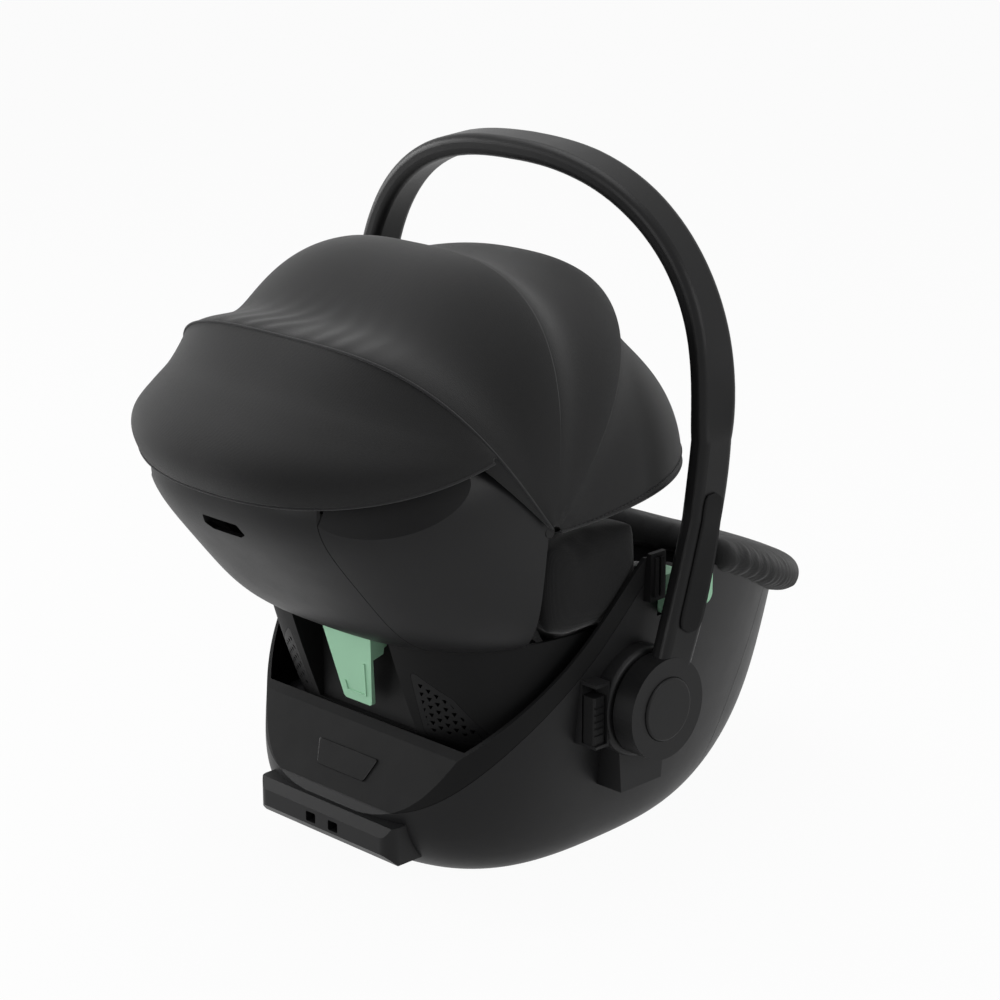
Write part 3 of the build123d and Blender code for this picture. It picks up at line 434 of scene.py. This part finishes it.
def archRow(y, z, half, angle, radius, power, foot, columns):
    start = 0.5 * math.pi * (foot / radius) ** (power / 2)
    turn = np.linspace(start, math.pi - start, canopy["fineSteps"])
    x = half * np.sign(np.cos(turn)) * np.abs(np.cos(turn)) ** (2 / power)
    r = radius * np.sin(turn) ** (2 / power)
    walk = np.concatenate([[0], np.cumsum(np.hypot(np.diff(x), np.diff(r)))])
    even = np.linspace(0, walk[-1], columns)
    x = np.interp(even, walk, x)
    r = np.interp(even, walk, r)
    a = math.radians(angle)
    return np.stack([x, y + r * math.cos(a), z + r * math.sin(a)], 1)


def bowRow(angle, radius, power, columns=canopy["columns"]):
    return archRow(canopy["y"], canopy["z"], canopy["half"], angle, radius, power, canopy["foot"], columns)


# Rows of a panel between two bows: the cloth rolls over each bow and hangs or swells in between
def panelRows(first, last, hang, swell, count, gather=None):
    rows = []
    for v in np.linspace(0, 1, count):
        angle, radius, power = (a + (b - a) * v for a, b in zip(first, last))
        depth, place = hang
        sag = depth * math.sin(math.pi * v ** (math.log(0.5) / math.log(place))) ** 2
        row = bowRow(angle, radius - sag + swell * math.sin(math.pi * v * v), power)
        if gather:
            out = row - np.array([0, canopy["y"], canopy["z"]])
            out[:, 0] *= gathers["sideways"]
            out /= np.linalg.norm(out, axis=1)[:, None]
            row = row + out * gather(row[:, 0], v)[:, None]
        rows.append(row)
    return np.array(rows)


# A panel tucks a little under the one before it
def lapped(bow):
    back, down = canopy["lap"]
    return (bow[0] - back, bow[1] - down, bow[2])


# Short slanting gathers where the cloth is sewn to the ridge
def ridgeGather(x, v):
    fade = np.clip(v / gathers["start"], 0, 1) * math.exp(-((v / gathers["reach"]) ** 2))
    wave = np.zeros_like(x)
    for place, size, width in gathers["waves"]:
        for hand in (-1, 1):
            wave += size * np.exp(-(((hand * x - place + gathers["slant"] * v) / width) ** 2))
    return gathers["height"] * fade * wave - gathers["sink"] * fade


# Rows of the rear cloth, from its hem up: the upper ones ease onto the ridge
def skirtRows(count):
    angles = [a for a, r in canopy["skirt"]]
    radii = [r for a, r in canopy["skirt"]]
    ridge = math.radians(canopy["ridge"][0])
    y = canopy["y"] + canopy["skirtSeat"] * math.cos(ridge)
    z = canopy["z"] + canopy["skirtSeat"] * math.sin(ridge)
    power = canopy["ridge"][2]
    half = canopy["half"] * (1 - (canopy["skirtSeat"] / canopy["ridge"][1]) ** power) ** (1 / power)
    fan = np.linspace(angles[0], angles[-1], count)
    reach = np.interp(fan, angles, radii)
    for _ in range(canopy["skirtSmooth"]):
        reach[1:-1] = (reach[:-2] + 2 * reach[1:-1] + reach[2:]) / 4
    rows = [
        archRow(y, z, half, angle, radius, canopy["skirtPower"], canopy["skirtFoot"], canopy["columns"])
        for angle, radius in zip(fan, reach)
    ]
    crest = bowRow(*canopy["ridge"], canopy["fineSteps"])
    above = np.hypot(crest[:, 1] - canopy["y"], crest[:, 2] - canopy["z"]) >= canopy["skirtSeat"]
    crest = crest[above]
    walk = np.concatenate([[0], np.cumsum(np.linalg.norm(np.diff(crest, axis=0), axis=1))])
    even = np.linspace(0, walk[-1], canopy["columns"])
    crest = np.stack([np.interp(even, walk, crest[:, k]) for k in range(3)], 1)
    for v, row in zip(np.linspace(0, 1, count), rows):
        near = min(1.0, max(0.0, (v - canopy["skirtBlend"]) / (1 - canopy["skirtBlend"])))
        near = near * near * (3 - 2 * near)
        row += (crest - row) * near
    return np.array(rows)


# Greatest width and depth of a sheet along its rows, and its area cell by cell
def flatSize(rows):
    wide = np.linalg.norm(np.diff(rows, axis=1), axis=2).sum(1)
    deep = np.linalg.norm(np.diff(rows, axis=0), axis=2).sum(0)
    corner = rows[:-1, :-1]
    cells = np.linalg.norm(np.cross(rows[1:, :-1] - corner, rows[:-1, 1:] - corner), axis=2)
    return (float(wide.max()), float(deep.max())), float(cells.sum())


def declareCloth(rows):
    flat, area = flatSize(rows)


pivot = np.array([0, canopy["y"], canopy["z"]])


# Line through the pivot, square to the middle of a panel
def foldLine(first, last, reach):
    a = math.radians((first + last) / 2)
    side = np.array([0, -math.sin(a), math.cos(a)])
    return tuple(pivot - side * reach), tuple(pivot + side * reach)


ridge, mid, front, visor = (canopy[k] for k in ("ridge", "mid", "front", "visor"))
skirt = skirtRows(canopy["skirtRows"])
visorRows = panelRows(lapped(front), visor, canopy["visorHang"], canopy["visorSwell"], canopy["visorRows"])
# Each sheet with the solid it stands for, the bow under it, and the two bodies and angles it spans
panels = {
    "canopySkirt": {"rows": skirt, "node": "canopy_rear_panel", "bow": "canopy_rear_bow"},
    "canopyMidCloth": {
        "rows": panelRows(ridge, mid, canopy["midHang"], 0, canopy["midRows"], ridgeGather),
        "node": "canopy_mid_panel", "bow": "canopy_mid_bow",
        "spans": ("seat", "canopy_mid"), "angles": (ridge[0], mid[0]), "reach": 0.06,
    },
    "canopyTopCloth": {
        "rows": panelRows(lapped(mid), front, canopy["topHang"], 0, canopy["topRows"]),
        "node": "canopy_top_panel", "bow": "canopy_front_bow",
        "spans": ("canopy_mid", "canopy_front"), "angles": (mid[0], front[0]), "reach": 0.045,
    },
    "canopyVisorCloth": {
        "rows": visorRows,
        "node": "canopy_visor", "bow": "canopy_visor_bow",
        "spans": ("canopy_front", "canopy_visor"), "angles": (front[0], visor[0]), "reach": 0.06,
    },
}
for name, facts in panels.items():
    cloth = addSheet(name, facts["rows"], "canopy", canopy["thick"])
    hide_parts(facts["node"])
    declareCloth(facts["rows"])
    if "spans" in facts:
        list(foldLine(*facts["angles"], facts["reach"]))
        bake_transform(cloth)
    else:
        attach(cloth, "seat")

# Facings under the ends of the ridge
facing = {"turn": 9, "draw": 0.05, "rows": 6, "columns": canopy["columns"] // 4}
fan = np.linspace(1, 0, facing["rows"])
facingRows = np.array([
    bowRow(ridge[0] - facing["turn"] * k, ridge[1] * (1 - facing["draw"] * k), ridge[2]) for k in fan
])
for side, columns in (("Left", slice(facing["columns"])), ("Right", slice(-facing["columns"], None))):
    rows = facingRows[:, columns]
    strip = addSheet("ridgeFacing" + side, rows, "canopy", canopy["thick"])
    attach(strip, "seat")
    declareCloth(rows)

# Piping and stitches of the canopy, each on the body that carries it
hemLine = bowRow(visor[0], visor[1] - canopy["hemSink"], visor[2])
stitch = {"radius": 0.0005, "pitch": 0.0055, "row": -3, "widen": 1.001, "proud": 0.0004}
stitchLine = visorRows[stitch["row"]] * [stitch["widen"], 1, 1] + [0, -stitch["proud"], 0]
canopySeams = {
    "ridgePiping": (bowRow(*ridge), "piping", canopy["piping"], None, "seat"),
    "skirtHem": (skirt[0], "piping", canopy["piping"], None, "seat"),
    "visorHem": (hemLine, "piping", canopy["piping"], None, "canopy_visor"),
    "visorStitch": (stitchLine, "thread", stitch["radius"], stitch["pitch"], "canopy_visor"),
}
for name, (line, look, radius, pitch, body) in canopySeams.items():
    seam = addSeam(name, line, look, radius, pitch)
    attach(seam, body)
print("canopy built")


# Padded pieces swell from the CAD solid: remesh, draw in, let the cover fill, hold it near the solid.
# Each has its voxel, inset, greatest swelling, finish, slot and fill; a negative inset makes it fuller.
padding = {
    "back_cushion": ("backPad", 0.006, 0.003, 0.006, "knit", "inner_fabric", 0.6),
    "seat_cushion": ("seatPad", 0.006, 0.003, 0.006, "knit", "inner_fabric", 0.6),
    "side_liner_left": ("sideLinerLeft", 0.006, 0.002, 0.003, "knit", "inner_fabric", 0.5),
    "side_liner_right": ("sideLinerRight", 0.006, 0.002, 0.003, "knit", "inner_fabric", 0.5),
    "side_wing_left": ("sideWingLeft", 0.006, 0.002, 0.003, "cover cloth", "outer_fabric", 0.5),
    "side_wing_right": ("sideWingRight", 0.006, 0.002, 0.003, "cover cloth", "outer_fabric", 0.5),
    "front_cuff": ("frontCuff", 0.004, -0.0055, 0.006, "cover cloth", "outer_fabric", 0.7),
    "headrest_pad": ("headPad", 0.005, 0.003, 0.006, "knit", "inner_fabric", 0.7),
    "shoulder_pads": ("shoulderPads", 0.0025, 0.001, 0.0025, "knit", "inner_fabric", 0.6),
    "crotch_pad": ("crotchPad", 0.0025, 0.001, 0.0025, "knit", "inner_fabric", 0.6),
}
bodyOf = {node: body for body, held in frame["record"]["behaviour"]["bodies"].items() for node in held}
filling = {"frames": 16, "pressure": 4.0, "quality": 4, "stretch": 12, "bend": 0.4}
rounding = {"factor": 0.5, "coarse": 24, "fine": 6, "fineVoxel": 0.003}


def swell(piece, cap):
    rest = np.array([v.co for v in piece.data.vertices])
    cover = piece.modifiers.new("cover", "CLOTH")
    cover.settings.use_pressure = True
    cover.settings.uniform_pressure_force = filling["pressure"]
    cover.settings.quality = filling["quality"]
    cover.settings.tension_stiffness = filling["stretch"]
    cover.settings.compression_stiffness = filling["stretch"]
    cover.settings.bending_stiffness = filling["bend"]
    cover.settings.effector_weights.gravity = 0
    cover.collision_settings.use_collision = False
    cover.point_cache.frame_start = 1
    cover.point_cache.frame_end = filling["frames"]
    for step in range(1, filling["frames"] + 1):
        scene.frame_set(step)
    settle(piece)
    moved = np.array([v.co for v in piece.data.vertices])
    shift = moved - rest
    shift -= shift.mean(0)
    size = np.linalg.norm(shift, axis=1)
    shift *= np.minimum(1, cap / np.maximum(size, 1e-9))[:, None]
    piece.data.vertices.foreach_set("co", (rest + shift).astype(np.float32).ravel())
    piece.data.update()
    scene.frame_set(1)


def addPad(node, name, voxel, inset, cap, look, slot, fill):
    mesh = cadNodes[node].data.copy()
    mesh.name = name
    shape = bmesh.new()
    shape.from_mesh(mesh)
    bmesh.ops.remove_doubles(shape, verts=shape.verts, dist=1e-5)
    bmesh.ops.recalc_face_normals(shape, faces=shape.faces)
    shape.to_mesh(mesh)
    shape.free()
    mesh.materials.clear()
    mesh.materials.append(finishes[look])
    piece = bpy.data.objects.new(name, mesh)
    scene.collection.objects.link(piece)
    grid = piece.modifiers.new("grid", "REMESH")
    grid.mode = "VOXEL"
    grid.voxel_size = voxel
    smooth = piece.modifiers.new("round", "SMOOTH")
    smooth.factor = rounding["factor"]
    smooth.iterations = rounding["coarse"] if voxel > rounding["fineVoxel"] else rounding["fine"]
    settle(piece)
    mesh = piece.data
    normals = np.array([v.normal for v in mesh.vertices])
    points = np.array([v.co for v in mesh.vertices])
    mesh.vertices.foreach_set("co", (points - normals * inset).astype(np.float32).ravel())
    mesh.update()
    swell(piece, cap)
    soft = piece.modifiers.new("soft", "SUBSURF")
    soft.levels = soft.render_levels = 1
    settle(piece)
    piece.data.polygons.foreach_set("use_smooth", [True] * len(piece.data.polygons))
    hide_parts(node)
    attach(piece, bodyOf[node])
    return piece


for node, facts in padding.items():
    pad = addPad(node, *facts)
    print("padded", node, len(pad.data.polygons))

# Harness webbing on the back pad, from the slots to the lower ends of the shoulder pads
harness = {
    "x": 0.034, "width": 0.030, "thick": 0.0016, "top": 0.198, "bottom": 0.062, "lift": 0.0164,
    "bite": (-0.008, 0.072), "recline": 47.3, "rows": 24, "columns": 7,
}


# A point on the reclined back, from where seat and back meet
def onBack(along, out):
    a = math.radians(harness["recline"])
    y, z = harness["bite"]
    up = along * math.sin(a) + out * math.cos(a)
    return np.array([0, y + along * math.cos(a) - out * math.sin(a), z + up])


def strapRows(hand):
    rows = []
    across = hand * harness["x"] + np.linspace(1, -1, harness["columns"]) * harness["width"] / 2
    for along in np.linspace(harness["top"], harness["bottom"], harness["rows"]):
        centre = onBack(along, harness["lift"] + harness["thick"])
        rows.append([centre + [x, 0, 0] for x in across])
    return np.array(rows)


sides = (("Left", 1), ("Right", -1))
for side, hand in sides:
    strap = addSheet("shoulderStrap" + side, strapRows(hand), "webbing", harness["thick"], 0)
    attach(strap, "seat")
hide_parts("shoulder_straps")
print("harness laid")


# What lies on a moulding follows its surface, found by a ray
def surfaceOf(node):
    mesh = cadNodes[node].data
    return BVHTree.FromPolygons([v.co for v in mesh.vertices], [tuple(f.vertices) for f in mesh.polygons])


def landOn(surface, start, direction, lift):
    spot = surface.ray_cast(Vector(start), Vector(direction))[0]
    if spot is None:
        return None
    return np.array(spot - Vector(direction).normalized() * lift)


# Long inlay on the outer face of each handle leg: heights above the pivot, a leg's curve, round ends
inlay = {
    "low": 0.062, "high": 0.178, "half": 0.0115, "least": 0.0004, "ends": 14, "lift": 0.0006, "thick": 0.0012,
    "pivotZ": 0.148, "lean": (-0.4, 0.6875), "tilt": 0.28, "outside": 0.3, "rows": 40, "columns": 9,
}
bar = surfaceOf("handle_bar")
for side, hand in sides:
    rows = []
    for t in np.linspace(0, 1, inlay["rows"]):
        v = inlay["low"] + (inlay["high"] - inlay["low"]) * t
        y = inlay["lean"][0] * v + inlay["lean"][1] * v * v
        half = inlay["half"] * (1 - abs(2 * t - 1) ** inlay["ends"]) ** 0.5 + inlay["least"]
        row = []
        for w in np.linspace(1, -1, inlay["columns"]) * hand * half:
            start = (hand * inlay["outside"], y + w, inlay["pivotZ"] + v + inlay["tilt"] * w)
            row.append(landOn(bar, start, (-hand, 0, 0), inlay["lift"]))
        if all(spot is not None for spot in row):
            rows.append(row)
    panel = addSheet("legInlay" + side, np.array(rows), "cover", inlay["thick"], 0)
    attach(panel, "handle")

# Raised line that frames the sunk face of the belt hook, through corners in x and z
hook = {
    "corners": ((-0.017, 0.178), (-0.0125, 0.147), (0.0105, 0.147), (0.012, 0.156)),
    "steps": 12, "behind": 0.3, "lift": 0.0002, "radius": 0.0009,
}
hookFace = surfaceOf("shoulder_belt_hook")
hookLine = []
for (x0, z0), (x1, z1) in zip(hook["corners"], hook["corners"][1:]):
    for k in range(hook["steps"]):
        x = x0 + (x1 - x0) * k / hook["steps"]
        z = z0 + (z1 - z0) * k / hook["steps"]
        hookLine.append(landOn(hookFace, (x, hook["behind"], z), (0, -1, 0), hook["lift"]))
hookLine = [spot for spot in hookLine if spot is not None]
hookFrame = addSeam("hookFrame", hookLine, "accent", hook["radius"])
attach(hookFrame, "seat")
print("inlays and hook line set")

# Plain plate on the rear cover
plate = {
    "topZ": 0.0985, "bottomZ": 0.0795, "topHalf": 0.037, "bottomHalf": 0.029, "thick": 0.0022, "sunk": 0.001,
    "sternY": 0.186, "sternZ": 0.058, "slope": 60 / 34, "corner": 0.003, "edge": 0.0006,
}


def addPlate():
    lean = Vector((0, plate["slope"], 1)).normalized()
    outline = []
    for x, z in ((-1, 1), (1, 1), (1, -1), (-1, -1)):
        level = plate["topZ"] if z > 0 else plate["bottomZ"]
        half = plate["topHalf"] if z > 0 else plate["bottomHalf"]
        y = plate["sternY"] - (level - plate["sternZ"]) / plate["slope"]
        outline.append(Vector((x * half, y, level)))
    shape = bmesh.new()
    back = [shape.verts.new(p - lean * plate["sunk"]) for p in outline]
    base = shape.faces.new(back)
    lifted = bmesh.ops.extrude_face_region(shape, geom=[base])
    for v in [e for e in lifted["geom"] if isinstance(e, bmesh.types.BMVert)]:
        v.co += lean * plate["thick"]
    upright = [e for e in shape.edges if abs((e.verts[0].co - e.verts[1].co).normalized().dot(lean)) > 0.9]
    bmesh.ops.bevel(shape, geom=upright, offset=plate["corner"], segments=5, affect="EDGES", profile=0.5)
    bmesh.ops.recalc_face_normals(shape, faces=shape.faces)
    mesh = bpy.data.meshes.new("plainPlate")
    shape.to_mesh(mesh)
    shape.free()
    mesh.materials.append(finishes["plate"])
    piece = bpy.data.objects.new("plainPlate", mesh)
    scene.collection.objects.link(piece)
    edge = piece.modifiers.new("edge", "BEVEL")
    edge.width = plate["edge"]
    edge.segments = 3
    edge.limit_method = "ANGLE"
    settle(piece)
    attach(piece, "seat")


addPlate()
print("plate set")

# Stage: pale floor, soft light, camera at the photograph's angle
stage = {
    "floorHalf": 9, "floorTone": 0.6, "floorRough": 0.9, "floorWhite": 0.955, "roomLight": 0.2,
    "lens": 97.2, "sensor": 36, "camera": (-1.5941, 1.5766, 0.9687), "aim": (0.6762, -0.6762, -0.2924),
}
# To these rays the floor and the room are white; all others get their dimmer light
whiteRays = ("Is Camera Ray", "Is Glossy Ray", "Is Transmission Ray")
floorFinish = Finish("paleFloor", stage["floorRough"])
floorFinish.colour((stage["floorTone"],) * 3 + (1,))
seen = sum(floorFinish.node("ShaderNodeLightPath", output=ray) for ray in whiteRays)
glow = floorFinish.node("ShaderNodeEmission", None, {"Color": (1, 1, 1, 1), "Strength": 1.0})
lit = Wire(floorFinish.tree, floorFinish.shader.outputs[0])
blendIn = floorFinish.node("ShaderNodeMixShader", None, {0: seen * stage["floorWhite"], 1: lit, 2: glow})
floorFinish.plug(floorFinish.tree.nodes["Material Output"].inputs["Surface"], blendIn)
half = stage["floorHalf"]
corners = [(x * half, y * half, 0) for x, y in ((-1, -1), (1, -1), (1, 1), (-1, 1))]
floorMesh = bpy.data.meshes.new("floor")
floorMesh.from_pydata(corners, [], [(0, 1, 2, 3)])
floorMesh.materials.append(floorFinish.material)
floor = bpy.data.objects.new("floor", floorMesh)
scene.collection.objects.link(floor)

room = bpy.data.worlds.new("softRoom")
room.use_nodes = True
scene.world = room
roomNodes = room.node_tree.nodes
roomLinks = room.node_tree.links
dim = roomNodes["Background"]
white = roomNodes.new("ShaderNodeBackground")
for light, strength in ((dim, stage["roomLight"]), (white, 1.0)):
    light.inputs["Color"].default_value = (1, 1, 1, 1)
    light.inputs["Strength"].default_value = strength
path = roomNodes.new("ShaderNodeLightPath")
shown = sum(Wire(room.node_tree, path.outputs[ray]) for ray in whiteRays)
choose = roomNodes.new("ShaderNodeMixShader")
roomLinks.new(shown.socket, choose.inputs[0])
roomLinks.new(dim.outputs[0], choose.inputs[1])
roomLinks.new(white.outputs[0], choose.inputs[2])
roomLinks.new(choose.outputs[0], roomNodes["World Output"].inputs["Surface"])

# Each lamp: place, what it faces, size and power
lamps = {
    "topSoftbox": ((0.4, 0.1, 2.4), (0, 0.05, 0.3), 1.8, 36),
    "leftSoftbox": ((2.7, 1.0, 0.8), (0, 0.1, 0.3), 1.2, 44),
    "rearFill": ((0.5, 3.0, 0.6), (0, 0.1, 0.3), 0.9, 17),
    "rightSoftbox": ((-2.4, -0.5, 1.2), (0, 0, 0.25), 1.2, 20),
}
for name, (place, target, size, power) in lamps.items():
    light = bpy.data.lights.new(name, "AREA")
    light.size = size
    light.energy = power
    lamp = bpy.data.objects.new(name, light)
    lamp.location = place
    lamp.rotation_euler = (Vector(target) - Vector(place)).to_track_quat("-Z", "Y").to_euler()
    scene.collection.objects.link(lamp)

lens = bpy.data.cameras.new("camera")
lens.lens = stage["lens"]
lens.sensor_width = stage["sensor"]
camera = bpy.data.objects.new("camera", lens)
camera.location = stage["camera"]
camera.rotation_euler = Vector(stage["aim"]).to_track_quat("-Z", "Y").to_euler()
scene.collection.objects.link(camera)
scene.camera = camera
scene.view_settings.view_transform = "Standard"
print("stage lit")
